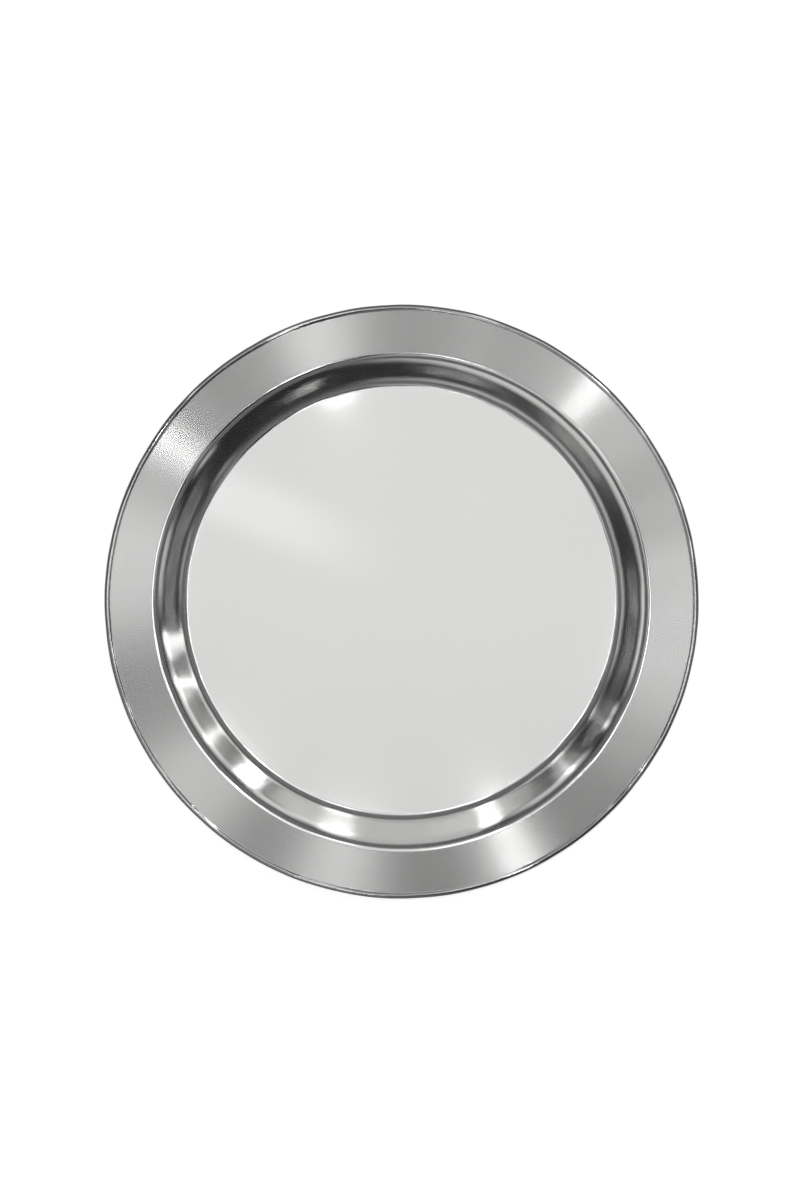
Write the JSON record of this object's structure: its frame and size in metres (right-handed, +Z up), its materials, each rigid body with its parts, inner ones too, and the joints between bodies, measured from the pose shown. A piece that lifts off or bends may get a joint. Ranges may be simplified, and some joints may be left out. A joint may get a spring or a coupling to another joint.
{
  "type": "offering plate",
  "caption": "Round metal offering plate: a deep flat-floored well with a wide brushed rim and a rolled edge, standing on a foot ring with a felt base.",
  "frame": {"origin": "centre of the underside, on the surface that the plate stands on", "axes": "+Z up along the plate's own axis, out of the well; the plate is round, so +X and +Y are any two directions across it"},
  "size_m": [0.305, 0.305, 0.0493],
  "materials": {
    "stainless_sheet": "stainless steel, circular brushing on the rim and the well floor, polished wall, shoulder and rolled edge",
    "steel_wire": "plain drawn wire, hidden inside the rolled edge",
    "foot_steel": "satin turned stainless steel",
    "felt": "pressed wool felt, matt"
  },
  "bodies": {
    "root": {"plate_shell": "stainless_sheet", "edge_wire": "steel_wire", "foot_ring": "foot_steel", "base_felt": "felt"}
  },
  "joints": []
}
